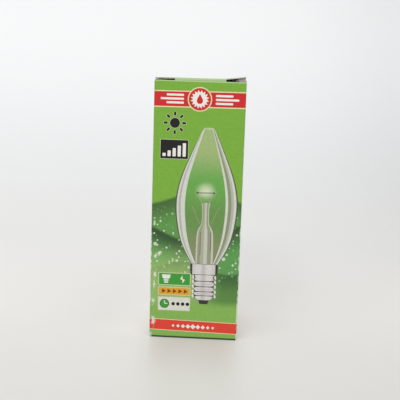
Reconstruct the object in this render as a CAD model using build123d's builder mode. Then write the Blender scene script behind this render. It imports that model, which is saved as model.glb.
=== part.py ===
from build123d import *
from math import asin, degrees
import os

# Lamp carton: a tall tuck-ended box for one candle lamp, folded from a single sheet of boxboard.
# Four panels are creased round and glued along a seam at the back left. Each end closes with two dust flaps
# and a lid over them, and the lid's tongue tucks in behind the panel across from its crease. The top lid is
# creased to the back panel and the bottom lid to the front panel, so the ends tuck opposite ways.
# The front panel faces -Y, +Z is up, and the origin is the middle of the base. Lengths are in millimetres.

# The sleeve
carton_width = 37.0  # left to right, outside
carton_depth = 37.0  # front to back, outside
panel_height = 108.0  # base to the cut top edge of the front panel
board = 0.4  # thickness of the boxboard
crease_inside = 0.3  # radius on the inside of a crease
glue_flap_width = 11.0
glue_flap_end_gap = 2.0  # from a dust flap down to the end of the glue flap, at its crease
glue_flap_slope = 3.5  # how much shorter each end gets towards the free edge

# The dust flaps
dust_flap_length = 14.5  # side panel to free edge
dust_flap_shoulder = 3.2  # straight stretch of the edge that faces the tongue
dust_flap_step = 2.5  # setback past the shoulder, at 45 degrees
dust_flap_slope = 2.0  # how much each side edge closes in towards the free edge
dust_flap_corner = 3.0  # radius of the two free corners
flap_clearance = 0.3  # dust flap to the panel beside it
flap_gap = 0.1  # dust flap to the closed lid over it

# The lids
lid_rise = 0.4  # cut top edge of the front panel up to the outer face of the top lid at its crease
lid_side_gap = 0.3  # side edge of a lid, in from the side of the carton
crease_gap = 0.1  # end of a panel to the rolled crease of its lid
fold_width = 20.5  # fold between lid and tongue, left uncut between the two slits
fold_inside = 0.2  # radius on the inside of that fold
slit_drop = 1.5  # lid down to the shoulders of the tongue, at 45 degrees
tongue_length = 12.0
tongue_clearance = 0.3  # tongue to the panel that it tucks in behind, and to the dust flaps
tongue_side_gap = 0.45  # side of the tongue to the glue flap
tongue_corner = 5.0  # radius of the two free corners
lid_spring = 0.5  # how far the fold of the top lid is sprung up at its left end, with the dust flaps under it
fold_rise = 0.3  # how much further the right end of that fold is sprung up
corner_rise = 1.05  # how much further still the right cut corner beside it is sprung up

half_width = carton_width / 2
half_depth = carton_depth / 2
carton_height = panel_height + lid_rise
crease_radius = crease_inside + board
fold_radius = fold_inside + board

# A lid turns about the middle of its rolled crease. On the plane of each crease, x runs along the crease,
# y across the carton to the panel that the tongue tucks behind, and z out of the carton. The bottom lid is
# pressed flush with that panel's cut edge, and the top lid stands a little past it and is sprung up.
top_crease = Plane((0, half_depth - board / 2, carton_height - board / 2), x_dir=(-1, 0, 0), z_dir=(0, 0, 1))
bottom_crease = Plane((0, board / 2 - half_depth, board / 2), x_dir=(-1, 0, 0), z_dir=(0, 0, -1))

# The outer face of the dust flaps on those planes, and that of the tongue, which is curved about the crease
# so that it can swing out past its panel
flap_level = -board / 2 - flap_gap
tongue_radius = carton_depth - board / 2 - board - tongue_clearance

# The planes that the lids and the dust flaps under them lie along
top_plate = top_crease.moved(Rotation(degrees(asin(lid_spring / tongue_radius)), 0, 0))
bottom_plate = bottom_crease

# How far the top lid turns up on its crease past that plane, at the right slit and at the right corner
slit_turn = degrees(asin(fold_rise / tongue_radius))
corner_turn = degrees(asin((fold_rise + corner_rise) / tongue_radius))

# Side edges of a dust flap, from the crease of the lid
flap_near_edge = crease_radius - board / 2 + flap_clearance
flap_far_edge = tongue_radius - board - tongue_clearance
flap_span = flap_far_edge - flap_near_edge
flap_middle = (flap_far_edge + flap_near_edge) / 2

# The strip of panels between the dust flaps, and the glue flap's outside and free edge
sleeve_bottom = board + flap_gap
sleeve_top = carton_height - sleeve_bottom
seam_x = board - half_width
seam_free_edge = half_depth - glue_flap_width


def dust_flap(plate, side):
    """A dust flap under a lid, and the crease that it folds in on, at one end of a side panel."""
    level = plate.offset(flap_level)
    notch_start = half_width - dust_flap_shoulder
    notch_end = notch_start - dust_flap_step
    free_edge = half_width - dust_flap_length
    across = Plane(
        level.from_local_coords((side * half_width, flap_middle, 0)),
        x_dir=level.x_dir * -side,
        z_dir=level.y_dir * side,
    )
    with BuildPart() as flap:
        with BuildSketch(level) as outline:
            with BuildLine():
                Polyline(
                    (side * (half_width - crease_radius), flap_far_edge),
                    (side * notch_start, flap_far_edge),
                    (side * notch_end, flap_far_edge - dust_flap_step),
                    (side * free_edge, flap_far_edge - dust_flap_step - dust_flap_slope),
                    (side * free_edge, flap_near_edge + dust_flap_slope),
                    (side * (half_width - crease_radius), flap_near_edge),
                    close=True,
                )
            make_face()
            fillet(outline.vertices().group_by(Axis.X)[0 if side > 0 else -1], dust_flap_corner)
        extrude(amount=-board)
        with BuildSketch(across):
            with BuildLine():
                outer = CenterArc((crease_radius, -crease_radius), crease_radius, 90, 90)
                inner = CenterArc((crease_radius, -crease_radius), crease_radius - board, 90, 90)
                Line(outer @ 0, inner @ 0)
                Line(outer @ 1, inner @ 1)
            make_face()
        extrude(amount=flap_span / 2, both=True)
    return flap.part


def tuck_lid(plate, right_slit_turn, right_corner_turn):
    """A lid with its rolled crease, its slit fold, its tongue and the corners beside the slits."""
    across = Plane(plate.origin, x_dir=plate.y_dir, z_dir=plate.x_dir)
    tongue_angle = degrees(tongue_length / tongue_radius)
    fold_angle = degrees(asin(board / 2 / tongue_radius))
    tongue_half = half_width - 2 * board - tongue_side_gap
    slit = fold_width / 2

    with BuildPart() as lid:
        # The middle, from one slit to the other: rolled crease, fold and the stretch of tongue below the fold
        for place, turn in ((-slit, right_slit_turn), (slit, 0)):
            with BuildSketch(across.moved(Location((0, 0, place), (0, 0, turn)))) as middle:
                with BuildLine():
                    outer = CenterArc((0, 0), tongue_radius, fold_angle, -tongue_angle - fold_angle)
                    inner = CenterArc((0, 0), tongue_radius - board, fold_angle, -tongue_angle - fold_angle)
                    Line(outer @ 0, inner @ 0)
                    Line(outer @ 1, inner @ 1)
                tongue_section = make_face()
                Rectangle(outer.position_at(0).X, board, align=(Align.MIN, Align.CENTER))
                Circle(board / 2)
                outer_corner = middle.vertices().sort_by_distance((tongue_radius, board / 2))[0]
                fillet(outer_corner, fold_radius)
                inner_corner = middle.vertices().sort_by_distance((tongue_radius - board, -board / 2))[0]
                fillet(inner_corner, fold_inside)
        loft(ruled=True)

        # The rest of the tongue, beside the fold
        for side in (-1, 1):
            with BuildSketch(across.offset(side * slit)):
                add(tongue_section)
            extrude(amount=side * (tongue_half - slit))

        # The tongue's outline, seen from the front: slits, shoulders and rounded corners
        facing = Plane(plate.origin, x_dir=plate.x_dir, z_dir=-plate.y_dir)
        with BuildSketch(facing) as waste:
            Rectangle(carton_width, 4 * tongue_length)
            with BuildLine():
                half_outline = Polyline(
                    (0, tongue_length),
                    (slit, tongue_length),
                    (slit, -board / 2 - fold_inside),
                    (slit + slit_drop - fold_inside, -board / 2 - slit_drop),
                    (tongue_half, -board / 2 - slit_drop),
                    (tongue_half, -tongue_length),
                    (0, -tongue_length),
                )
                mirror(half_outline, about=Plane.YZ)
            make_face(mode=Mode.SUBTRACT)
            fillet(waste.vertices().filter_by_position(Axis.Y, -tongue_length, -tongue_length), tongue_corner)
        extrude(amount=-carton_depth, mode=Mode.SUBTRACT)

        # The corners outside the slits
        for side, slit_angle, corner_angle in ((-1, right_slit_turn, right_corner_turn), (1, 0, 0)):
            for reach, turn in ((slit, slit_angle), (half_width - lid_side_gap, corner_angle)):
                with BuildSketch(across.moved(Location((0, 0, side * reach), (0, 0, turn)))):
                    Rectangle(tongue_radius, board, align=(Align.MIN, Align.CENTER))
                    Circle(board / 2)
            loft(ruled=True)
    return lid.part


def mitred_panel(outward, left):
    """The ground that the front or back panel covers, from above, up to the mitres at its creases."""
    with BuildSketch() as ground:
        with BuildLine():
            Polyline(
                (left + crease_radius, outward * (half_depth - crease_radius)),
                (left - crease_radius, outward * (half_depth + crease_radius)),
                (half_width + crease_radius, outward * (half_depth + crease_radius)),
                (half_width - crease_radius, outward * (half_depth - crease_radius)),
                close=True,
            )
        make_face()
    return ground.sketch


os.makedirs("parts", exist_ok=True)

# The sleeve with its glue seam and the four dust flaps
front_panel = mitred_panel(-1, -half_width)
back_panel = mitred_panel(1, seam_x)
with BuildPart() as carton_body:
    # One folded strip, from the glue flap round to the free edge of the left panel, between the dust flaps
    with BuildSketch(Plane.XY.offset(sleeve_bottom)) as strip:
        with BuildLine():
            FilletPolyline(
                (seam_x, seam_free_edge),
                (seam_x, half_depth),
                (half_width, half_depth),
                (half_width, -half_depth),
                (-half_width, -half_depth),
                (-half_width, seam_free_edge - crease_radius),
                radius=crease_radius,
            )
            offset(amount=board, side=Side.RIGHT)
        make_face()
        with Locations((-half_width, half_depth)):
            Rectangle(board, glue_flap_width + crease_radius, align=(Align.MIN, Align.MAX))
    extrude(amount=sleeve_top - sleeve_bottom)

    # The front and back panels run on past the dust flaps, to the lid on their crease and down to the base
    for panel, low, high in (
        (front_panel, board + crease_gap, panel_height),
        (back_panel, 0, carton_height - board - crease_gap),
    ):
        with BuildSketch(Plane.XY.offset(low)):
            add(strip.sketch_local)
            add(panel, mode=Mode.INTERSECT)
        extrude(amount=high - low)

    # The glue flap's sloping ends, clear of the dust flaps, with a narrow strip left along its crease
    half_sleeve = (sleeve_top - sleeve_bottom) / 2
    crease_strip = crease_radius + flap_clearance / 2
    with BuildSketch(Plane((seam_x, half_depth, carton_height / 2), x_dir=(0, 1, 0), z_dir=(1, 0, 0))):
        with BuildLine():
            Polyline(
                (-crease_strip, half_sleeve),
                (-crease_strip, half_sleeve - glue_flap_end_gap),
                (-glue_flap_width, half_sleeve - glue_flap_end_gap - glue_flap_slope),
                (-glue_flap_width, half_sleeve),
                close=True,
            )
        make_face()
        mirror(about=Plane.XZ)
    extrude(amount=board, mode=Mode.SUBTRACT)

    # The side panels stop where their dust flaps begin to fold in
    for plate in (top_plate, bottom_plate):
        with BuildSketch(plate.offset(flap_level)):
            with Locations((half_width, flap_middle), (-half_width, flap_middle)):
                Rectangle(2 * crease_radius, flap_span)
        extrude(amount=-crease_radius, mode=Mode.SUBTRACT)
        add(dust_flap(plate, -1))
        add(dust_flap(plate, 1))
carton_body.part.label = "carton_body"
export_step(carton_body.part, "parts/carton_body.step")

with BuildPart() as top_lid:
    add(tuck_lid(top_plate, slit_turn, corner_turn))
top_lid.part.label = "top_lid"
export_step(top_lid.part, "parts/top_lid.step")

with BuildPart() as bottom_lid:
    add(tuck_lid(bottom_plate, 0, 0))
bottom_lid.part.label = "bottom_lid"
export_step(bottom_lid.part, "parts/bottom_lid.step")
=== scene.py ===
from math import cos, pi, radians, sin

import bpy
from mathutils import Matrix


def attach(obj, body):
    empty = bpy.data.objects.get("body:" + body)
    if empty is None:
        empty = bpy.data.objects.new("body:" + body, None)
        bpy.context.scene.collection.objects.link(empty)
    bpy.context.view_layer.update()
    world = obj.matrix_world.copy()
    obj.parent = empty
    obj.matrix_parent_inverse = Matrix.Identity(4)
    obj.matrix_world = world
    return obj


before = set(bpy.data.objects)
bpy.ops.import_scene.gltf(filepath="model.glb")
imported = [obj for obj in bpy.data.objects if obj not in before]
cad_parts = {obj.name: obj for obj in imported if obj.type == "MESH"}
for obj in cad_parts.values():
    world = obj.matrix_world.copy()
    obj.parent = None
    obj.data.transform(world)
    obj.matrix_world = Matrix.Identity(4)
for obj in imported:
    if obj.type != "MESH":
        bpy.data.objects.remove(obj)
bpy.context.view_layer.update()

# The sleeve: four panels of grey-backed boxboard, coated white outside and printed in green and red under
# a satin varnish. It is folded on its creases and glued at the back left, and a dust flap at each end of
# each side panel is folded in under the lid.
mm = 0.001  # a millimetre in the scene, whose unit is the metre
half_width = 18.5  # this and the other sizes on the sheet are in millimetres
panel_top = 108.0  # cut edge of the front panel
lid_tilt = 0.014  # rise of the closed top lid, and of the dust flaps under it, towards the front
skin = 0.3  # depth from the outside of a panel within which its print is seen
board = 0.42  # just over the thickness of the sheet
flap_foot = 0.7  # the bottom dust flaps lie below this level
flap_margin = 0.6  # the dust flaps end at least this far from the outside of the front and back panels
crease_roll = 1.0  # the crease of a dust flap rolls within this depth from the outside of its panel
shoulder = 3.1  # beyond this depth from the side, the edges of a dust flap are set back in the shade
edge_on = 0.7  # a face turned at least this far towards an axis counts as a cut edge
end_on = 0.95  # the same for the level ends of the panels


def rgb(red, green, blue):
    """A colour given in sRGB, as on a screen, for a socket."""
    parts = [value / 255 for value in (red, green, blue)]
    return [p / 12.92 if p <= 0.04045 else ((p + 0.055) / 1.055) ** 2.4 for p in parts] + [1.0]


def join(tree, socket, value):
    """Gives a socket a value, or the output of another node."""
    if isinstance(value, bpy.types.NodeSocket):
        tree.links.new(value, socket)
    else:
        socket.default_value = value


def node(tree, kind, sockets=None, **settings):
    """Adds a node with its settings and its sockets, which are given by name or by number."""
    made = tree.nodes.new("ShaderNode" + kind)
    for name, value in settings.items():
        setattr(made, name, value)
    for name, value in (sockets or {}).items():
        join(tree, made.inputs[name], value)
    return made


def calc(tree, operation, *values):
    """The output of a Math node."""
    return node(tree, "Math", dict(enumerate(values)), operation=operation).outputs[0]


def ramp(tree, value, start, end, low=0.0, high=1.0):
    """Runs smoothly from low, where the value is at start, to high, where it is at end."""
    sockets = {"Value": value, "From Min": start, "From Max": end, "To Min": low, "To Max": high}
    return node(tree, "MapRange", sockets, interpolation_type="SMOOTHSTEP").outputs["Result"]


def mix(tree, part, first, second):
    """A colour, first where part is 0 and second where it is 1, from a Mix node's sockets for colours."""
    return node(tree, "Mix", {0: part, 6: first, 7: second}, data_type="RGBA").outputs[2]


def mix_values(tree, part, first, second):
    """The same with plain values, from a Mix node's sockets for those."""
    return node(tree, "Mix", {0: part, 2: first, 3: second}).outputs[0]


def own_place(tree):
    """Where a point is on the carton, as x, y and z in millimetres."""
    place = node(tree, "SeparateXYZ", {0: node(tree, "TexCoord").outputs["Object"]})
    return [calc(tree, "MULTIPLY", axis, 1 / mm) for axis in place.outputs]


def own_facing(tree):
    """Which way the surface faces on the carton, as x, y and z."""
    return node(tree, "SeparateXYZ", {0: node(tree, "TexCoord").outputs["Normal"]}).outputs


def noise(tree, scale, detail=2.0, stretch=(1, 1, 1)):
    """Noise from about 0 to 1, with scale grains to the metre."""
    place = node(tree, "Mapping", {"Vector": node(tree, "TexCoord").outputs["Object"], "Scale": stretch})
    return node(tree, "TexNoise", {"Vector": place.outputs[0], "Scale": scale, "Detail": detail}).outputs[0]


def new_group(name, inputs, outputs):
    """A shader node group. Returns its tree, what its inputs give, and its output node."""
    group = bpy.data.node_groups.new(name, "ShaderNodeTree")
    for way, sockets in (("INPUT", inputs), ("OUTPUT", outputs)):
        for socket, kind in sockets.items():
            group.interface.new_socket(socket, in_out=way, socket_type="NodeSocket" + kind)
    return group, group.nodes.new("NodeGroupInput").outputs, group.nodes.new("NodeGroupOutput")


def use_group(tree, group, **sockets):
    """Places a node group in a tree and returns its outputs."""
    made = tree.nodes.new("ShaderNodeGroup")
    made.node_tree = group
    for name, value in sockets.items():
        join(tree, made.inputs[name], value)
    return made.outputs


# Ink lies a little unevenly, and the varnish over it has a fine orange peel.
noise_range = (0.3, 0.7)  # between these lies most of the noise
tone_range = (0.965, 1.035)
satin = (0.33, 0.45)  # roughness, where the varnish is thickest and where it is thinnest
varnish, given, out = new_group(
    "ink_under_varnish", {"Ink": "Color"}, {"Color": "Color", "Roughness": "Float", "Height": "Float"}
)
uneven = ramp(varnish, noise(varnish, 800, detail=4), *noise_range, *tone_range)
tone = node(varnish, "HueSaturation", {"Value": uneven, "Color": given["Ink"]})
join(varnish, out.inputs["Color"], tone.outputs[0])
gloss = ramp(varnish, noise(varnish, 260, detail=3), *noise_range, *satin)
join(varnish, out.inputs["Roughness"], gloss)
swell = calc(varnish, "MULTIPLY", noise(varnish, 420), 1.5)
join(varnish, out.inputs["Height"], calc(varnish, "ADD", noise(varnish, 5200), swell))

# Bare board is grey pulp with short fibres and a few dark flecks.
pale_fibre = rgb(222, 220, 212)
dark_fleck = rgb(92, 84, 72)
pulp, given, out = new_group("bare_board", {"Pulp": "Color"}, {"Color": "Color", "Height": "Float"})
fibres = noise(pulp, 2600, detail=3, stretch=(0.35, 0.35, 1.6))
flecks = ramp(pulp, noise(pulp, 3800, detail=1), 0.68, 0.76, 0, 0.6)
shade = mix(pulp, ramp(pulp, fibres, 0.35, 0.75, 0, 0.5), given["Pulp"], pale_fibre)
join(pulp, out.inputs["Color"], mix(pulp, flecks, shade, dark_fleck))
join(pulp, out.inputs["Height"], fibres)

# Where an edge or a crease is rubbed, the coat cracks in small patches and what is under it shows.
wear, given, out = new_group("rubbed_edge", {"Nearness": "Float", "Amount": "Float"}, {"Mask": "Float"})
stretches = noise(wear, 90, stretch=(1, 1, 0.5))
patches = calc(wear, "MULTIPLY_ADD", stretches, 0.8, noise(wear, 620, detail=5))
level = calc(wear, "MULTIPLY", calc(wear, "ADD", patches, given["Amount"]), given["Nearness"])
join(wear, out.inputs["Mask"], ramp(wear, level, 0.8, 1.05))


def printed_material(name):
    """A material with the gloss of varnished board. Returns it with its tree and its shader."""
    material = bpy.data.materials.new(name)
    material.use_nodes = True
    shader = material.node_tree.nodes["Principled BSDF"]
    shader.inputs["Specular IOR Level"].default_value = 0.35
    shader.inputs["Coat Weight"].default_value = 0.1
    shader.inputs["Coat Roughness"].default_value = 0.25
    return material, material.node_tree, shader


def dress(tree, shader, colour, roughness, height):
    """Joins a surface's colour, roughness and relief to its shader."""
    relief = node(tree, "Bump", {"Strength": 0.12, "Distance": 0.00004, "Height": height})
    join(tree, shader.inputs["Base Color"], colour)
    join(tree, shader.inputs["Roughness"], roughness)
    join(tree, shader.inputs["Normal"], relief.outputs[0])


white_base = rgb(231, 235, 224)
grey_back = rgb(190, 187, 174)
bare_roughness = 0.9


def dress_board(tree, shader, printing, worn, printed, cut, raw_edge):
    """Dresses a sheet of board with its print and wear outside, its grey back, and its cut edges."""
    ink = use_group(tree, varnish, Ink=printing)
    back = use_group(tree, pulp, Pulp=grey_back)
    raw = use_group(tree, pulp, Pulp=raw_edge)
    colour = mix(tree, worn, ink["Color"], white_base)
    colour = mix(tree, printed, back["Color"], colour)
    colour = mix(tree, cut, colour, raw["Color"])
    coated = calc(tree, "MULTIPLY", printed, calc(tree, "SUBTRACT", 1, cut))
    roughness = mix_values(tree, coated, bare_roughness, ink["Roughness"])
    height = mix_values(tree, coated, back["Height"], ink["Height"])
    dress(tree, shader, colour, roughness, height)


sleeve, tree, shader = printed_material("printed_sleeve")
x, y, z = own_place(tree)
facing = own_facing(tree)
across, deep = calc(tree, "ABSOLUTE", x), calc(tree, "ABSOLUTE", y)
outermost = calc(tree, "MAXIMUM", across, deep)

# The side of the sheet that is seen: a panel's outside, a dust flap's outer face, or a cut edge. The cut
# edges of the dust flaps are painted darker as shade under the lid, and darkest where they are set back.
on_panel = calc(tree, "GREATER_THAN", outermost, half_width - skin)
on_front = calc(tree, "LESS_THAN", y, skin - half_width)
top_flap = calc(tree, "GREATER_THAN", calc(tree, "MULTIPLY_ADD", y, lid_tilt, z), panel_top)
at_flap = calc(tree, "MAXIMUM", top_flap, calc(tree, "LESS_THAN", z, flap_foot))
on_flap = calc(tree, "MULTIPLY", at_flap, calc(tree, "LESS_THAN", deep, half_width - flap_margin))
cut = calc(tree, "GREATER_THAN", calc(tree, "ABSOLUTE", facing[2]), end_on)
cut = calc(tree, "MULTIPLY", cut, calc(tree, "GREATER_THAN", outermost, half_width - board))
raw_edge = rgb(190, 190, 174)
flap_edge_painted_shade = rgb(154, 152, 138)
edge_painted_shade = rgb(122, 121, 106)
for direction, place, margin in ((facing[0], across, crease_roll), (facing[1], deep, flap_margin)):
    edge = calc(tree, "GREATER_THAN", calc(tree, "ABSOLUTE", direction), edge_on)
    edge = calc(tree, "MULTIPLY", edge, calc(tree, "LESS_THAN", place, half_width - margin))
    cut = calc(tree, "MAXIMUM", cut, edge)
    # Painted shade: a dust flap's cut edge is darker, and darker still where it is set back.
    raw_edge = mix(tree, edge, raw_edge, flap_edge_painted_shade)
    set_back_shade = calc(tree, "MULTIPLY", edge, calc(tree, "LESS_THAN", across, half_width - shoulder))
    raw_edge = mix(tree, set_back_shade, raw_edge, edge_painted_shade)

# The green field, with soft rolling waves, a lit patch low on the left, a plain foot, and points of light
field = mix(tree, ramp(tree, z, 0, 100), rgb(124, 174, 61), rgb(121, 173, 56))
along = calc(tree, "MULTIPLY_ADD", y, 0.6, x)  # so that the waves run on round the corners
wave_edge = 0.8
for rise, swing, pace, shift, crest, hollow, depth in (
    (60, 3.0, 0.12, 2.6, (66, 104, 48), (94, 150, 72), 11),
    (46, 3.5, 0.14, 0.4, (46, 78, 42), (92, 154, 80), 13),
    (31, 2.6, 0.16, 4.2, (56, 100, 48), (88, 134, 66), 10),
):
    swell = calc(tree, "SINE", calc(tree, "MULTIPLY_ADD", along, pace, shift))
    below = calc(tree, "SUBTRACT", calc(tree, "MULTIPLY_ADD", swell, swing, rise), z)
    wave = mix(tree, ramp(tree, below, 0, depth), rgb(*crest), rgb(*hollow))
    field = mix(tree, ramp(tree, below, -wave_edge, wave_edge), field, wave)
lit = calc(tree, "MULTIPLY", ramp(tree, z, 44, 26), ramp(tree, along, 2, -16))
field = mix(tree, calc(tree, "MULTIPLY", lit, 0.7), field, rgb(168, 202, 120))
field = mix(tree, ramp(tree, z, 17.5, 13.5), field, rgb(133, 179, 84))
glint_colour = rgb(216, 230, 206)
glint_strength = 0.85
among_waves = calc(tree, "MULTIPLY", ramp(tree, z, 20, 34), ramp(tree, z, 58, 48))
for scale, largest in ((420.0, 0.4), (760.0, 0.44)):
    cells = node(tree, "TexVoronoi", {"Vector": node(tree, "TexCoord").outputs["Object"], "Scale": scale})
    chance = node(tree, "SeparateXYZ", {0: cells.outputs["Color"]}).outputs
    size = calc(tree, "MULTIPLY", calc(tree, "POWER", chance[0], 2.2), largest)  # few are large
    glint = ramp(tree, calc(tree, "SUBTRACT", size, cells.outputs["Distance"]), 0.0, 0.1)
    glint = calc(tree, "MULTIPLY", calc(tree, "MULTIPLY", glint, among_waves), glint_strength)
    field = mix(tree, glint, field, glint_colour)

# A red band between cream rules near each end, a little out of square. The dust flaps are left white.
cream = rgb(232, 224, 178)
top_red = rgb(203, 38, 33)
foot_red = rgb(224, 66, 47)
flap_white = rgb(232, 230, 218)
for low, high, slant, rule, red in (
    (97.85, 103.7, 0.007, 0.42, top_red),
    (3.0, 7.45, -0.02, 0.25, foot_red),
):
    level = calc(tree, "SUBTRACT", z, calc(tree, "MULTIPLY_ADD", along, slant, (low + high) / 2))
    off = calc(tree, "ABSOLUTE", level)
    field = mix(tree, calc(tree, "LESS_THAN", off, (high - low) / 2 + rule), field, cream)
    field = mix(tree, calc(tree, "LESS_THAN", off, (high - low) / 2), field, red)
field = mix(tree, on_flap, field, flap_white)

# The front panel's cut top edge is rubbed pale, and its lower end, where the sheet rolls under, is painted
# dark as shade. The lower left corner is crushed, and its coat has cracked to a pale grey.
pale_rub = rgb(182, 207, 150)
base_painted_shade = rgb(30, 44, 18)
base_shade_strength = 0.95
crushed_coat = rgb(208, 213, 194)
top_rub = calc(tree, "MULTIPLY", ramp(tree, z, panel_top - 0.55, panel_top - 0.2), on_front)
field = mix(tree, top_rub, field, pale_rub)
# Painted shade: the foot of the panel darkens where the sheet rolls under.
field = mix(tree, ramp(tree, z, 1.0, 0.55, 0, base_shade_strength), field, base_painted_shade)
crushed = calc(tree, "MULTIPLY", ramp(tree, x, -16.9, -18.3), ramp(tree, z, 3.0, 1.5))
crushed = calc(tree, "MULTIPLY", crushed, ramp(tree, y, -16.5, -18.2))
field = mix(tree, crushed, field, crushed_coat)

# The creases are rubbed to a cream shade, most of all near the base on the right, above and below the red
# band there. White scuffs with ragged outlines run up the left margin of the front panel.
cream_rub = rgb(224, 229, 190)
band_middle, band_reach = 5.1, 2.2
usual_wear, extra_wear = -0.14, 0.4
from_crease = calc(tree, "SUBTRACT", 2 * half_width, calc(tree, "ADD", across, deep))
crease_wear = calc(tree, "MULTIPLY", ramp(tree, from_crease, 0.62, 0.42), on_panel)
low_right = calc(tree, "MULTIPLY", ramp(tree, x, 0, 10), ramp(tree, z, 24, 8))
off_band = calc(tree, "SUBTRACT", 1, calc(tree, "COMPARE", z, band_middle, band_reach))
amount = calc(tree, "MULTIPLY_ADD", calc(tree, "MULTIPLY", low_right, off_band), extra_wear, usual_wear)
rubbed = use_group(tree, wear, Nearness=crease_wear, Amount=amount)["Mask"]
field = mix(tree, rubbed, field, cream_rub)
ragged = calc(tree, "MULTIPLY_ADD", noise(tree, 1500, detail=3), 3.2, -1.5)
scuffs = 0.0
for place, level, width, height in (
    (-15.1, 36.6, 1.1, 0.9),
    (-16.5, 35.2, 0.6, 0.9),
    (-16.6, 27.4, 0.6, 1.5),
    (-16.8, 23.2, 0.5, 1.8),
    (-17.1, 15.7, 0.6, 1.4),
    (-16.9, 7.3, 0.85, 2.2),
):
    off = calc(tree, "DIVIDE", calc(tree, "SUBTRACT", x, place), width)
    rise = calc(tree, "DIVIDE", calc(tree, "SUBTRACT", z, level), height)
    spread = calc(tree, "SQRT", calc(tree, "MULTIPLY_ADD", off, off, calc(tree, "MULTIPLY", rise, rise)))
    patch = ramp(tree, calc(tree, "ADD", spread, ragged), 1.2, 0.6)
    scuffs = calc(tree, "MAXIMUM", scuffs, patch)
scuff_strength = 0.8
worn = calc(tree, "MULTIPLY", calc(tree, "MULTIPLY", scuffs, on_front), scuff_strength)
printed = calc(tree, "MAXIMUM", on_panel, on_flap)
dress_board(tree, shader, field, worn, printed, cut, raw_edge)
carton_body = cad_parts["carton_body"]
carton_body.data.materials.clear()
carton_body.data.materials.append(sleeve)

# The two lids: each is a stretch of the same sheet, creased to its panel, with a tongue that tucks in
# behind the panel across from it. They are printed plain green, paler on the stretched fold of the tongue,
# with a painted highlight that is lightest where the fold faces up.
# The crease of the bottom lid is painted dark as shade, and crushed at its left end, as the foot of the
# front panel is.
lid_level = 108.9  # outer face of the closed top lid at its fold
fold_end = 10.3  # half the width of the fold between the slits
fold_drop = 0.7  # the lid's cut corners beside the slits reach down to this depth under its face
tongue_drop = 1.2  # the cut edges of the tongue are deeper than this under the lid's face
roll_depth = 0.25  # the roll of the crease, printed all round, reaches this far in
frontal_on = -0.6  # a face that looks further forward than this is the front of the fold or a cut corner
upper_on = 0.5  # a face that looks further up than this is the outer face, or low down the tongue's edge
lid_wear = -0.05
lid_green = rgb(121, 173, 60)
fold_front = rgb(168, 198, 134)
fold_top_highlight = rgb(181, 197, 160)
edge_painted_light = rgb(176, 177, 160)
for name, turned_over in (("top_lid", False), ("bottom_lid", True)):
    lid, tree, shader = printed_material("printed_" + name)
    x, y, z = own_place(tree)
    sideways, forward, up = own_facing(tree)
    if turned_over:
        y, z = calc(tree, "MULTIPLY", y, -1), calc(tree, "SUBTRACT", lid_level, z)
        forward, up = calc(tree, "MULTIPLY", forward, -1), calc(tree, "MULTIPLY", up, -1)
    across = calc(tree, "ABSOLUTE", x)
    frontal = calc(tree, "LESS_THAN", forward, frontal_on)
    printed = calc(tree, "MAXIMUM", calc(tree, "GREATER_THAN", up, upper_on), frontal)
    printed = calc(tree, "MAXIMUM", printed, calc(tree, "GREATER_THAN", y, half_width - roll_depth))
    corner_cut = calc(tree, "MULTIPLY", frontal, calc(tree, "GREATER_THAN", across, fold_end))
    corner_cut = calc(tree, "MULTIPLY", corner_cut, calc(tree, "GREATER_THAN", z, lid_level - fold_drop))
    side_cut = calc(tree, "GREATER_THAN", calc(tree, "ABSOLUTE", sideways), edge_on)
    tongue_cut = calc(tree, "GREATER_THAN", calc(tree, "ABSOLUTE", up), upper_on)
    tongue_cut = calc(tree, "MULTIPLY", tongue_cut, calc(tree, "LESS_THAN", z, lid_level - tongue_drop))
    # The fold is paler where its coat is stretched, and a painted highlight lightens it most where it faces
    # up.
    fold_stretch_and_highlight = mix(tree, ramp(tree, up, 0.2, 0.7), fold_front, fold_top_highlight)
    green = mix(tree, ramp(tree, y, -17.2, -17.8), lid_green, fold_stretch_and_highlight)
    nearness = ramp(tree, across, 17.7, 18.2, 0, 0.9)
    if turned_over:
        # Painted shade along the roll of the bottom crease.
        green = mix(tree, ramp(tree, y, 17.7, 18.2, 0, base_shade_strength), green, base_painted_shade)
        crushed = calc(tree, "MULTIPLY", ramp(tree, x, -17.2, -18.2), ramp(tree, y, 16.8, 18.0))
        green = mix(tree, crushed, green, crushed_coat)
    else:
        nearness = calc(tree, "MAXIMUM", nearness, ramp(tree, y, 17.6, 18.3))
    worn = use_group(tree, wear, Nearness=nearness, Amount=lid_wear)["Mask"]
    cut = calc(tree, "MAXIMUM", calc(tree, "MAXIMUM", side_cut, corner_cut), tongue_cut)
    # Painted shade and light: the lid's cut edges are darker on the left and paler on the right.
    raw_edge = mix(tree, ramp(tree, x, 8, 14), edge_painted_shade, edge_painted_light)
    dress_board(tree, shader, green, worn, printed, cut, raw_edge)
    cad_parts[name].data.materials.clear()
    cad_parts[name].data.materials.append(lid)

# The lid creases: the board runs on unbroken from a panel into its lid, so a thin strip of it closes the
# slot between the end of the panel and the roll of the crease.
strip_size = (35.6 * mm, 0.3 * mm, 0.14 * mm)
strip_corner = 0.02
strip_inset = 0.23  # from the outside of the panel to the middle of the strip
for name, y, z in (
    ("top_crease_strip", half_width - strip_inset, 107.92),
    ("bottom_crease_strip", strip_inset - half_width, 0.48),
):
    bpy.ops.object.select_all(action="DESELECT")
    bpy.ops.mesh.primitive_cube_add(size=1, location=(0, y * mm, z * mm))
    strip = bpy.context.object
    strip.name = name
    bpy.ops.object.mode_set(mode="EDIT")
    bpy.ops.transform.resize(value=strip_size, center_override=strip.location)
    bpy.ops.mesh.bevel(offset=strip_corner * mm, segments=2, affect="EDGES")
    bpy.ops.object.mode_set(mode="OBJECT")
    bpy.ops.object.transform_apply(location=True, rotation=True, scale=True)
    strip.data.materials.append(sleeve)
    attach(strip, "carton")

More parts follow.
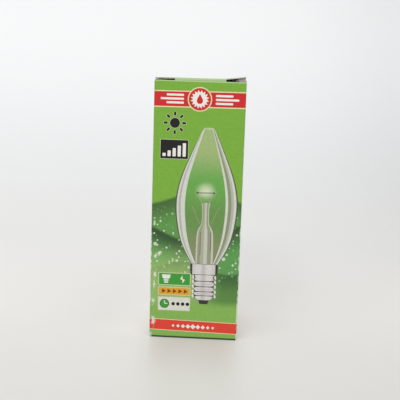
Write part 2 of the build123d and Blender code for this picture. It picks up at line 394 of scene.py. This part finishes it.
# The buckle: the right dust flap isn't pressed flat at the front end of its crease, so its board bulges up
# under the sprung corner of the lid. It fades out towards the back, and stays clear of the lid and of the
# tongue's swing.
buckle_x = 16.35
buckle_front = -17.05  # in line with the front edge of the dust flap
buckle_foot = 108.22  # within the board of the dust flap
buckle_width, buckle_depth = 4.1, 2.3  # before it is drawn out
buckle_rise = 1.1
crown_left, crown_right = 15.9, 17.2  # the stretch of its front edge that is lifted
front_row = 0.05  # points that are this near to its front are on its front edge
fade = 2.3  # reach of the lift round the crown
drawn_out = 2.6  # how many times deeper it is made towards the back
buckle_bed = 0.1  # depth of its underside below its foot


def select_points(piece, chosen):
    """Selects only those points of a mesh for which chosen is true."""
    for part in (*piece.data.polygons, *piece.data.edges):
        part.select = False
    for point in piece.data.vertices:
        point.select = chosen(point)


def on_crown(point):
    """Whether a point is on the stretch of the buckle's front edge that is lifted."""
    at_front = point.co.y < (buckle_front + front_row) * mm
    return at_front and crown_left * mm < point.co.x < crown_right * mm


buckle_middle = (buckle_x * mm, (buckle_front + buckle_depth / 2) * mm, buckle_foot * mm)
bpy.ops.object.select_all(action="DESELECT")
bpy.ops.mesh.primitive_grid_add(x_subdivisions=40, y_subdivisions=18, size=1, location=buckle_middle)
buckle = bpy.context.object
buckle.name = "flap_buckle"
bpy.ops.object.mode_set(mode="EDIT")
bpy.ops.transform.resize(value=(buckle_width * mm, buckle_depth * mm, 1), center_override=buckle_middle)
bpy.ops.object.mode_set(mode="OBJECT")
bpy.ops.object.transform_apply(location=True, rotation=True, scale=True)
select_points(buckle, on_crown)
bpy.ops.object.mode_set(mode="EDIT")
bpy.ops.transform.translate(
    value=(0, 0, buckle_rise * mm),
    use_proportional_edit=True,
    proportional_edit_falloff="SMOOTH",
    proportional_size=fade * mm,
)
bpy.ops.mesh.select_all(action="SELECT")
bpy.ops.transform.resize(value=(1, drawn_out, 1), center_override=(0, buckle_front * mm, 0))
bpy.ops.mesh.extrude_region_move(TRANSFORM_OT_translate={"value": (0, 0, -buckle_bed * mm)})
bpy.ops.transform.resize(value=(1, 1, 0), center_override=(0, 0, (buckle_foot - buckle_bed) * mm))
bpy.ops.mesh.select_all(action="SELECT")
bpy.ops.mesh.normals_make_consistent(inside=False)
bpy.ops.object.mode_set(mode="OBJECT")
buckle.data.materials.append(sleeve)
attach(buckle, "carton")

# The roundel: a round red sign with a cream rim over the middle of the top band, with a white sun and a
# red flame, and white rays on both sides of it. Like all the signs below, each is a film of ink bedded in
# the coat of the front panel, and printed again on the back panel.
ink_bed = 0.00001  # how deep a film is bedded in the coat, in metres
ink_step = 0.00002  # how far each layer of ink stands over the one under it, in metres
ink_plane = ink_bed - half_width * mm


def ink(name, colour):
    """A printed ink. Its colour is even, or a function of its tree gives it."""
    material, tree, shader = printed_material(name)
    coat = use_group(tree, varnish, Ink=colour(tree) if callable(colour) else colour)
    dress(tree, shader, coat["Color"], coat["Roughness"], coat["Height"])
    return material


def flat_disc(name, x, z, radius, sides=48, squeeze=1.0, turn=0.0):
    """A flat round or many-sided shape on the front panel, made narrower and then turned about its middle."""
    middle = (x * mm, ink_plane, z * mm)
    bpy.ops.object.select_all(action="DESELECT")
    bpy.ops.mesh.primitive_circle_add(
        vertices=sides, radius=radius * mm, fill_type="NGON", location=middle, rotation=(pi / 2, 0, 0)
    )
    piece = bpy.context.object
    piece.name = name
    bpy.ops.object.mode_set(mode="EDIT")
    bpy.ops.mesh.select_all(action="SELECT")
    bpy.ops.transform.resize(value=(squeeze, 1, 1), center_override=middle)
    bpy.ops.transform.rotate(value=radians(turn), orient_axis="Y", center_override=middle)
    bpy.ops.object.mode_set(mode="OBJECT")
    return piece


def flat_bar(name, x, z, width, height, corner, turn=0.0):
    """A flat bar on the front panel with rounded corners, turned about its middle."""
    middle = (x * mm, ink_plane, z * mm)
    bpy.ops.object.select_all(action="DESELECT")
    bpy.ops.mesh.primitive_plane_add(size=1, location=middle, rotation=(pi / 2, 0, 0))
    piece = bpy.context.object
    piece.name = name
    bpy.ops.object.mode_set(mode="EDIT")
    bpy.ops.transform.resize(value=(width * mm, 1, height * mm), center_override=middle)
    bpy.ops.mesh.bevel(offset=corner * mm, segments=4, affect="VERTICES")
    bpy.ops.mesh.select_all(action="SELECT")
    bpy.ops.transform.rotate(value=radians(turn), orient_axis="Y", center_override=middle)
    bpy.ops.object.mode_set(mode="OBJECT")
    return piece


def draw_up(name, axis, columns, rows, inks=None, smooth=0):
    """A flat shape on the front panel, drawn up row by row from an edge with a point at each column.

    A row is its height and half its width, and a column is its part of that half width. inks gives the
    number of the ink between each two columns, and smooth how often the outline is rounded.
    """
    bpy.ops.object.select_all(action="DESELECT")
    bpy.ops.mesh.primitive_plane_add(size=mm, location=(axis * mm, ink_plane, rows[0][0] * mm))
    piece = bpy.context.object
    piece.name = name
    bpy.ops.object.mode_set(mode="EDIT")
    bpy.ops.mesh.merge(type="CENTER")
    bpy.ops.transform.translate(value=(columns[0] * rows[0][1] * mm, 0, 0))
    for near, far in zip(columns, columns[1:]):
        step = (far - near) * rows[0][1] * mm
        bpy.ops.mesh.extrude_vertices_move(TRANSFORM_OT_translate={"value": (step, 0, 0)})
    bpy.ops.mesh.select_all(action="SELECT")
    for (low, half), (high, next_half) in zip(rows, rows[1:]):
        bpy.ops.mesh.extrude_edges_move(TRANSFORM_OT_translate={"value": (0, 0, (high - low) * mm)})
        pivot = (axis * mm, ink_plane, high * mm)
        bpy.ops.transform.resize(value=(next_half / half, 1, 1), center_override=pivot)
    bpy.ops.object.mode_set(mode="OBJECT")
    if piece.data.polygons[0].normal.y > 0:
        bpy.ops.object.mode_set(mode="EDIT")
        bpy.ops.mesh.select_all(action="SELECT")
        bpy.ops.mesh.flip_normals()
        bpy.ops.object.mode_set(mode="OBJECT")
    if inks:
        one_row = mm / 1000  # points that differ less in height are in one row
        for face in piece.data.polygons:
            ends = [piece.data.vertices[index].co for index in face.vertices]
            low = min(end.z for end in ends)
            half = min(rows, key=lambda row: abs((row[0] - rows[0][0]) * mm - low))[1] * mm
            middle = sum(end.x / half for end in ends if end.z - low < one_row) / 2
            face.material_index = inks[sum(middle > column for column in columns) - 1]
    if smooth:
        rounding = piece.modifiers.new("rounding", "SUBSURF")
        rounding.levels = rounding.render_levels = smooth
        bpy.ops.object.modifier_apply(modifier=rounding.name)
    return piece


def join_shapes(name, *pieces):
    """Joins flat shapes into one."""
    bpy.ops.object.select_all(action="DESELECT")
    for piece in pieces:
        piece.select_set(True)
    bpy.context.view_layer.objects.active = pieces[0]
    bpy.ops.object.join()
    pieces[0].name = name
    return pieces[0]


def inset_ink(piece, rim):
    """Insets a flat shape, and gives what is inside the rim the next ink."""
    bpy.ops.object.mode_set(mode="EDIT")
    bpy.ops.mesh.select_all(action="SELECT")
    bpy.ops.mesh.inset(thickness=rim * mm, use_boundary=True)
    bpy.ops.object.mode_set(mode="OBJECT")
    for face in piece.data.polygons:
        if face.select:
            face.material_index += 1


def lay_ink(piece, layer, *inks):
    """Makes a flat shape a film of ink on the front panel, and another on the back panel."""
    for colour in inks:
        piece.data.materials.append(colour)
    film = piece.modifiers.new("film", "SOLIDIFY")
    film.thickness = ink_bed + layer * ink_step
    film.offset = 1.0
    bpy.ops.object.modifier_apply(modifier=film.name)
    bpy.ops.object.transform_apply(location=True, rotation=True, scale=True)
    bpy.ops.object.duplicate()
    again = bpy.context.object
    again.name = piece.name + "_back"
    bpy.ops.transform.rotate(value=pi, orient_axis="Z", center_override=(0, 0, 0))
    bpy.ops.object.transform_apply(location=True, rotation=True, scale=True)
    for each in (piece, again):
        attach(each, "carton")


red_ink = ink("red_ink", top_red)
cream_ink = ink("cream_ink", cream)
white_ink = ink("white_ink", rgb(238, 236, 228))
roundel_z = 100.75
roundel = flat_disc("band_roundel", 0, roundel_z, radius=4.9, sides=64)
inset_ink(roundel, rim=0.42)
lay_ink(roundel, 1, cream_ink, red_ink)
notch = 0.72  # how near to its middle the sun is drawn in between its points
sun = flat_disc("roundel_sun", 0, roundel_z, radius=3.8, sides=32)
select_points(sun, lambda point: point.index % 2 == 0)
bpy.ops.object.mode_set(mode="EDIT")
bpy.ops.transform.resize(value=(notch, notch, notch), center_override=(0, ink_plane, roundel_z * mm))
bpy.ops.object.mode_set(mode="OBJECT")
lay_ink(sun, 2, white_ink)
flame_rows = ((98.95, 0.5), (99.3, 1.05), (100.2, 1.35), (101.1, 1.0), (101.9, 0.5), (102.8, 0.12))
lay_ink(draw_up("roundel_flame", 0, (-1, 0, 1), flame_rows, smooth=1), 3, red_ink)
ray_start = 6.4  # from the middle of the roundel
for side, word in ((-1, "left"), (1, "right")):
    rays = []
    for level, length in ((102.3, 7.0), (100.75, 9.4), (99.2, 7.0)):
        middle = side * (ray_start + length / 2)
        rays.append(flat_bar("ray", middle, level, width=length, height=0.85, corner=0.3))
    lay_ink(join_shapes("band_rays_" + word, *rays), 1, white_ink)

# The brightness sign: a black sun over a black plate with a row of rising white bars. A thin pale rim sets
# both off from the green field left of the lamp.
black_ink = ink("black_ink", rgb(12, 12, 10))
pale_ink = ink("pale_green_ink", rgb(206, 214, 170))
sign_x, sign_z = -9.8, 91.0
sign_rim = 0.16
ray_circle = 3.75  # radius at the middle of the rays
rays = [flat_disc("ray", sign_x, sign_z, radius=2.2)]
for number in range(8):
    angle = number * pi / 4
    place = sign_x + ray_circle * sin(angle), sign_z + ray_circle * cos(angle)
    rays.append(flat_bar("ray", *place, width=1.25, height=1.9, corner=0.35, turn=-45 * number))
sun_sign = join_shapes("brightness_sun", *rays)
inset_ink(sun_sign, sign_rim)
lay_ink(sun_sign, 1, pale_ink, black_ink)
plate = flat_bar("brightness_plate", sign_x, 80.3, width=11.6, height=8.0, corner=0.5)
inset_ink(plate, sign_rim)
lay_ink(plate, 1, pale_ink, black_ink)
bar_foot = 77.4
bar_pitch = 2.05
lowest_bar, bar_growth = 1.3, 1.05
bars = []
for number in range(5):
    height = lowest_bar + bar_growth * number
    place = sign_x - 2 * bar_pitch + bar_pitch * number
    bars.append(flat_bar("bar", place, bar_foot + height / 2, width=1.3, height=height, corner=0.2))
lay_ink(join_shapes("brightness_bars", *bars), 2, white_ink)

# The lamp's glass: a clear candle lamp drawn on the green field, with a thin dark outline, pale and grey
# streaks inside both edges where thick glass catches the light, and a see-through middle with a soft glow.
lamp_axis = 4.1
glow_z = 63.0
glow_shift = 0.5  # the glow's middle is this far left of the axis


def from_axis(tree):
    """How far a point is right of the lamp's axis, on the front or the back panel, and its height."""
    x, y, z = own_place(tree)
    side = calc(tree, "SIGN", calc(tree, "MULTIPLY", y, -1))
    return calc(tree, "SUBTRACT", calc(tree, "MULTIPLY", x, side), lamp_axis), z


def clear_glass(tree):
    """The middle: pale at the tip, green behind the filament, olive near the neck, with the glow."""
    off, z = from_axis(tree)
    off = calc(tree, "ADD", off, glow_shift)
    colour = mix(tree, ramp(tree, z, 34, 52), rgb(138, 142, 104), rgb(104, 146, 76))
    colour = mix(tree, ramp(tree, z, 52, 66), colour, rgb(104, 168, 74))
    colour = mix(tree, ramp(tree, z, 66, 82), colour, rgb(162, 184, 120))
    level = calc(tree, "SUBTRACT", z, glow_z)
    spread = calc(tree, "SQRT", calc(tree, "MULTIPLY_ADD", level, level, calc(tree, "MULTIPLY", off, off)))
    glow = calc(tree, "MULTIPLY", ramp(tree, spread, 5.2, 0.5, 0, 0.85), ramp(tree, level, -3.5, 0, 0.3, 1))
    return mix(tree, glow, colour, rgb(224, 229, 198))


outline_ink = ink("glass_outline_ink", rgb(82, 90, 62))
bright_ink = ink("glass_bright_ink", rgb(212, 215, 204))
grey_ink = ink("glass_grey_ink", rgb(182, 182, 172))
olive_ink = ink("glass_olive_ink", rgb(140, 150, 112))
clear_ink = ink("glass_clear_ink", clear_glass)
glass_rows = (
    (31.8, 4.9), (32.9, 5.6), (35.5, 7.2), (38.7, 9.0), (42.0, 10.4), (46.0, 11.6), (52.0, 12.6),
    (57.5, 13.0), (63.0, 12.5), (69.0, 11.0), (75.0, 8.6), (81.0, 6.0), (85.0, 4.2), (87.6, 3.1),
    (88.9, 2.4), (89.4, 1.85),
)
glass_columns = (-1, -0.965, -0.9, -0.83, -0.76, -0.7, -0.6, 0.52, 0.61, 0.68, 0.8, 0.87, 0.965, 1)
glass_inks = (0, 1, 2, 1, 1, 4, 4, 4, 1, 3, 2, 1, 0)
glass = draw_up("lamp_glass", lamp_axis, glass_columns, glass_rows, glass_inks, smooth=2)
lay_ink(glass, 1, outline_ink, bright_ink, grey_ink, olive_ink, clear_ink)
tip = draw_up("glass_tip", lamp_axis, (-1, 0, 1), ((88.7, 2.1), (89.1, 2.0), (89.5, 1.3)), smooth=2)
lay_ink(tip, 2, ink("glass_tip_ink", rgb(182, 200, 152)))

# The lamp's stem and filament: a glass stem with a domed flare that runs down to the neck, two lead wires
# in the flare, four thin wires that rise from the stem, and the filament between the ends of two of them.
stem_axis = lamp_axis - 0.3
stem_rows = (
    (31.8, 3.6), (37.0, 3.6), (43.0, 3.55), (46.6, 3.3), (48.3, 2.5), (49.3, 1.65), (51.0, 1.4),
    (55.6, 1.35), (57.4, 1.5), (58.7, 1.9),
)
stem_columns = (-1, -0.86, -0.5, -0.1, 0.3, 0.84, 1)
stem_inks = (0, 1, 2, 3, 1, 0)
stem = draw_up("lamp_stem", stem_axis, stem_columns, stem_rows, stem_inks, smooth=2)
stem_grey = ink("stem_grey_ink", rgb(150, 156, 128))
stem_pale = ink("stem_pale_ink", rgb(198, 201, 186))
lay_ink(stem, 2, stem_pale, stem_grey, ink("stem_olive_ink", rgb(172, 176, 152)), stem_pale)
leads = join_shapes(
    "lamp_lead_wires",
    flat_bar("lead", lamp_axis - 2.1, 41.4, width=0.28, height=10.0, corner=0.1),
    flat_bar("lead", lamp_axis + 2.2, 42.4, width=0.28, height=8.0, corner=0.1),
)
lay_ink(leads, 3, ink("lead_wire_ink", rgb(140, 98, 84)))
filament_x = lamp_axis - 0.55
filament_z = glow_z - 0.2
wires = join_shapes(
    "lamp_support_wires",
    flat_bar("wire", filament_x - 2.4, 60.5, width=0.26, height=4.6, corner=0.08, turn=27),
    flat_bar("wire", filament_x + 2.4, 60.5, width=0.26, height=4.6, corner=0.08, turn=-27),
    flat_bar("wire", stem_axis - 4.0, 53.4, width=0.2, height=8.0, corner=0.05, turn=24),
    flat_bar("wire", stem_axis + 4.0, 53.4, width=0.2, height=8.0, corner=0.05, turn=-24),
)
lay_ink(wires, 3, ink("support_wire_ink", rgb(170, 166, 130)))
filament = join_shapes(
    "lamp_filament",
    flat_bar("coil", filament_x, filament_z, width=6.6, height=0.3, corner=0.14, turn=1.5),
    flat_disc("clamp", filament_x - 3.4, filament_z, radius=0.42, sides=24),
    flat_disc("clamp", filament_x + 3.4, filament_z, radius=0.42, sides=24),
)
lay_ink(filament, 4, ink("filament_ink", rgb(84, 92, 80)))

# The lamp's cap: a pressed metal collar under the glass, five turns of screw thread and a dark contact,
# drawn as bright metal. Each groove is a dark line that widens at both ends, with the pale crest of the
# thread outside it.


def bright_metal(tree):
    """Metal that is brightest beside its middle."""
    off, _ = from_axis(tree)
    shine = calc(tree, "ABSOLUTE", calc(tree, "ADD", off, 0.4))
    colour = mix(tree, ramp(tree, shine, 0.2, 1.6), rgb(196, 191, 188), rgb(218, 214, 211))
    return mix(tree, ramp(tree, shine, 2.6, 4.4), colour, rgb(206, 203, 198))


def collar_metal(tree):
    """The same metal, dark at both sides, where the collar turns away."""
    off, _ = from_axis(tree)
    aside = calc(tree, "ABSOLUTE", calc(tree, "ADD", off, 0.28))
    return mix(tree, ramp(tree, aside, 4.65, 4.95), bright_metal(tree), rgb(58, 50, 48))


metal_ink = ink("metal_ink", bright_metal)
groove_ink = ink("groove_ink", rgb(92, 84, 78))
collar_rows = ((28.1, 5.45), (28.9, 5.7), (32.2, 5.8), (32.75, 5.65))
collar = draw_up("lamp_collar", lamp_axis - 0.2, (-1, 0, 1), collar_rows)
inset_ink(collar, rim=0.16)
lay_ink(collar, 3, groove_ink, ink("collar_ink", collar_metal))
core_rows = ((17.5, 2.9), (18.1, 3.9), (18.8, 4.25), (28.2, 4.3))
lay_ink(draw_up("thread_core", lamp_axis, (-1, 0, 1), core_rows), 2, groove_ink)
turn_rows = (
    ((25.45, 3.3), (25.8, 3.9), (26.2, 4.1), (27.0, 3.3), (27.6, 4.0), (28.05, 4.2)),
    ((23.12, 3.3), (23.5, 3.9), (24.15, 4.35), (24.8, 3.9), (25.15, 3.3)),
    ((20.96, 3.3), (21.35, 3.9), (21.9, 4.35), (22.45, 3.9), (22.82, 3.3)),
    ((19.2, 3.3), (19.5, 3.9), (19.95, 4.35), (20.35, 3.9), (20.66, 3.3)),
    ((17.14, 2.2), (17.5, 2.9), (18.1, 3.6), (18.6, 3.9), (18.92, 3.4)),
)
turns = [draw_up("turn", lamp_axis, (-1, 0, 1), rows, smooth=1) for rows in turn_rows]
lay_ink(join_shapes("lamp_thread", *turns), 3, metal_ink)
crest_reach = 4.6  # from the lamp's axis to the middle of each crest
crests = []
for level in (27.0, 25.1, 23.0, 20.85, 18.9):
    for side in (-1, 1):
        place = lamp_axis + side * crest_reach
        crests.append(flat_disc("crest", place, level, radius=0.85, sides=24, squeeze=0.48, turn=8))
lay_ink(join_shapes("thread_crests", *crests), 3, ink("crest_ink", rgb(226, 222, 212)))
hollows = []
for level in (24.05, 21.85, 19.9):
    hollows.append(flat_bar("hollow", lamp_axis, level, width=6.2, height=0.34, corner=0.15))
lay_ink(join_shapes("thread_hollows", *hollows), 4, ink("hollow_ink", rgb(190, 185, 182)))
contact_rows = ((15.45, 1.6), (15.8, 1.75), (17.5, 2.3))
contact = draw_up("lamp_contact", lamp_axis, (-1, 0, 1), contact_rows)
lay_ink(contact, 2, ink("contact_ink", rgb(56, 46, 44)))

# The three panels: a green one with a lamp cap and a flash, an amber one with a row of arrows, and a white
# one with a clock and a row of dots. Each has a thin pale rim, and they stand in a column left of the
# lamp's cap.
leaf_ink = ink("leaf_green_ink", rgb(62, 152, 52))
amber_ink = ink("amber_ink", rgb(222, 160, 36))
paper_ink = ink("panel_white_ink", rgb(222, 222, 212))
column_x = -8.3
green_z, amber_z, white_z = 25.75, 20.5, 15.0
for name, level, height, fill in (
    ("green_panel", green_z, 5.5, leaf_ink),
    ("amber_panel", amber_z, 3.6, amber_ink),
    ("white_panel", white_z, 6.0, paper_ink),
):
    panel = flat_bar(name, column_x, level, width=13.6, height=height, corner=0.35)
    inset_ink(panel, rim=0.3)
    lay_ink(panel, 1, pale_ink, fill)
cap_x = -11.8
cap_sign = join_shapes(
    "panel_cap_sign",
    draw_up("cap", cap_x, (-1, 0, 1), ((25.8, 1.0), (26.2, 1.6), (27.6, 1.8))),
    flat_bar("turn", cap_x, 25.2, width=2.1, height=0.6, corner=0.2),
    flat_bar("turn", cap_x, 24.3, width=1.7, height=0.6, corner=0.2),
)
lay_ink(cap_sign, 2, white_ink)
flash = join_shapes(
    "panel_flash_sign",
    flat_disc("half", -5.3, 26.3, radius=1.25, sides=3, squeeze=0.5, turn=-16.1),
    flat_disc("half", -4.6, 25.2, radius=1.25, sides=3, squeeze=0.5, turn=163.9),
)
lay_ink(flash, 2, white_ink)
arrow_pitch = 2.3
arrows = []
for number in range(-2, 3):
    place = column_x + arrow_pitch * number
    arrows.append(flat_disc("arrow", place, amber_z, radius=1.05, sides=3, turn=-90))
lay_ink(join_shapes("panel_arrows", *arrows), 2, ink("rust_ink", rgb(116, 56, 20)))
clock_x = -12.3
clock = flat_disc("panel_clock", clock_x, white_z, radius=2.0)
inset_ink(clock, rim=0.3)
lay_ink(clock, 2, ink("clock_rim_ink", rgb(36, 96, 38)), leaf_ink)
hands = join_shapes(
    "clock_hands",
    flat_bar("hand", clock_x, white_z + 0.75, width=0.36, height=1.25, corner=0.12),
    flat_bar("hand", clock_x + 0.65, white_z, width=1.3, height=0.36, corner=0.12),
)
lay_ink(hands, 3, white_ink)
first_dot, dot_pitch = -8.6, 2.0
dots = [flat_disc("dot", first_dot + dot_pitch * n, white_z, radius=0.75, sides=24) for n in range(4)]
lay_ink(join_shapes("panel_dots", *dots), 2, black_ink)

# The row in the bottom band: nine small white diamonds, largest in the middle. They are printed on the red
# of the band, and fall a little to the right as the band does.
diamond_pitch, diamond_fall = 2.1, 0.042
diamond_z = 5.22
largest, lessening = 1.15, 0.13
diamonds = []
for number in range(-4, 5):
    size = largest - lessening * abs(number)
    level = diamond_z - diamond_fall * number
    diamonds.append(flat_disc("diamond", diamond_pitch * number, level, radius=size, sides=4))
lay_ink(join_shapes("band_diamonds", *diamonds), 1, white_ink)

# The floor: a sweep of pale satin paper, laid flat under the carton and curved up behind it. It glows with
# painted light that shows only where it is looked at, and a painted shadow dims it in front of the carton.
sweep_width, sweep_depth, sweep_rise = 3.0, 1.6, 1.5  # in metres, as the sizes below are
sweep_shift = 0.1  # how far its middle is behind the carton
sweep_bend = 0.5  # how far before the corner it starts to curve up
far_edge = 0.5  # points behind this are at its far edge
bpy.ops.object.select_all(action="DESELECT")
bpy.ops.mesh.primitive_plane_add(size=1)
sweep = bpy.context.object
sweep.name = "paper_sweep"
bpy.ops.object.mode_set(mode="EDIT")
bpy.ops.transform.resize(value=(sweep_width, sweep_depth, 1.0), center_override=(0, 0, 0))
bpy.ops.transform.translate(value=(0, sweep_shift, 0))
bpy.ops.object.mode_set(mode="OBJECT")
select_points(sweep, lambda point: point.co.y > far_edge)
bpy.ops.object.mode_set(mode="EDIT")
bpy.ops.mesh.select_mode(type="EDGE")
bpy.ops.mesh.extrude_edges_move(TRANSFORM_OT_translate={"value": (0, 0, sweep_rise)})
bpy.ops.mesh.select_mode(type="VERT")
bpy.ops.object.mode_set(mode="OBJECT")
select_points(sweep, lambda point: point.co.y > far_edge and point.co.z < sweep_rise / 2)
bpy.ops.object.mode_set(mode="EDIT")
bpy.ops.mesh.select_mode(type="EDGE")
bpy.ops.mesh.bevel(offset=sweep_bend, segments=32, affect="EDGES")
bpy.ops.mesh.select_mode(type="VERT")
bpy.ops.object.mode_set(mode="OBJECT")
bpy.ops.object.shade_smooth()
paper = bpy.data.materials.new("pale_paper")
paper.use_nodes = True
tree = paper.node_tree
shader = tree.nodes["Principled BSDF"]
x, y, z = own_place(tree)
away = calc(tree, "ADD", y, z)  # back along the floor, and on up the curve
aside = calc(tree, "ABSOLUTE", x)
path = node(tree, "LightPath").outputs
seen = calc(tree, "MAXIMUM", path["Is Camera Ray"], path["Is Glossy Ray"])
seen = calc(tree, "MAXIMUM", seen, path["Is Transmission Ray"])

# The glow changes slowly towards the back, to both sides and up the curve.
side_fall = -0.0002  # to the millimetre, from left to right
glow = calc(tree, "MULTIPLY_ADD", x, side_fall, ramp(tree, away, -120, 60, 0.28, 0.37))
for direction, near, far, change in (
    (away, 40, 180, -0.042),
    (away, 300, 960, 0.18),
    (aside, 30, 180, -0.018),
    (x, -150, -330, -0.02),
    (x, 90, 260, -0.045),
):
    glow = calc(tree, "ADD", glow, ramp(tree, direction, near, far, 0, change))

# Painted shadow and light: the glow is weaker at the foot of the carton, stronger beside it on the left, and
# weaker behind it on the right.
painted_foot_shadow = -0.36
from_foot = calc(tree, "ABSOLUTE", calc(tree, "ADD", y, half_width))
at_foot = calc(tree, "MULTIPLY", ramp(tree, aside, 26, 8), ramp(tree, from_foot, 56, 0))
glow = calc(tree, "MULTIPLY", glow, calc(tree, "MULTIPLY_ADD", at_foot, painted_foot_shadow, 1))
for left, right, front, back, change in (
    ((-48, -20), (-10, -18), (-24, -6), (70, 0), 0.085),
    ((12, 22), (72, 24), (10, 70), (220, 110), -0.055),
):
    patch = calc(tree, "MULTIPLY", ramp(tree, x, *left), ramp(tree, x, *right))
    reach = calc(tree, "MULTIPLY", ramp(tree, y, *front), ramp(tree, y, *back))
    glow = calc(tree, "MULTIPLY_ADD", calc(tree, "MULTIPLY", patch, reach), change, glow)
colour = mix(tree, ramp(tree, away, -200, 600), rgb(172, 170, 166), rgb(184, 185, 186))
tint = mix(tree, ramp(tree, away, -50, 700), rgb(255, 253, 249), rgb(253, 255, 255))
join(tree, shader.inputs["Base Color"], colour)
join(tree, shader.inputs["Emission Color"], tint)
join(tree, shader.inputs["Emission Strength"], calc(tree, "MULTIPLY", seen, glow))
shader.inputs["Roughness"].default_value = 0.4
shader.inputs["Specular IOR Level"].default_value = 0.5
sweep.data.materials.append(paper)

# The light: two large soft boxes stand in front of the carton and above the camera, one on each side. The
# pale room round them lights the carton evenly.
box_width, box_height = 0.8, 0.6
room_strength = 0.7
for place, turn, power in (
    ((-0.55, -0.75, 0.75), (radians(55), 0, radians(-36)), 4.2),
    ((0.6, -0.65, 0.7), (radians(55), 0, radians(42)), 3.4),
):
    bpy.ops.object.light_add(type="AREA", location=place, rotation=turn)
    soft_box = bpy.context.object
    soft_box.data.shape = "RECTANGLE"
    soft_box.data.size = box_width
    soft_box.data.size_y = box_height
    soft_box.data.energy = power
world = bpy.data.worlds.new("pale_room")
world.use_nodes = True
world.node_tree.nodes["Background"].inputs["Color"].default_value = (1.0, 1.0, 1.0, 1.0)
world.node_tree.nodes["Background"].inputs["Strength"].default_value = room_strength
bpy.context.scene.world = world
bpy.context.scene.view_settings.view_transform = "Standard"

# The camera: it stands in front of the carton, a little above it and to its right, and looks down at it.
# Its place and turn are those that put the corners of the front panel where the photograph has them.
camera_place = (0.01507, -0.32671, 0.11508)
turn_left, look_down, roll = 2.555, 10.161, 1.83  # in degrees
bpy.ops.object.camera_add()
camera = bpy.context.object
camera.data.lens = 68.75
camera.data.sensor_width = 36.0
camera.data.clip_start = 0.01
camera.matrix_world = (
    Matrix.Translation(camera_place)
    @ Matrix.Rotation(radians(turn_left), 4, "Z")
    @ Matrix.Rotation(radians(90 - look_down), 4, "X")
    @ Matrix.Rotation(radians(roll), 4, "Z")
)
bpy.context.scene.camera = camera
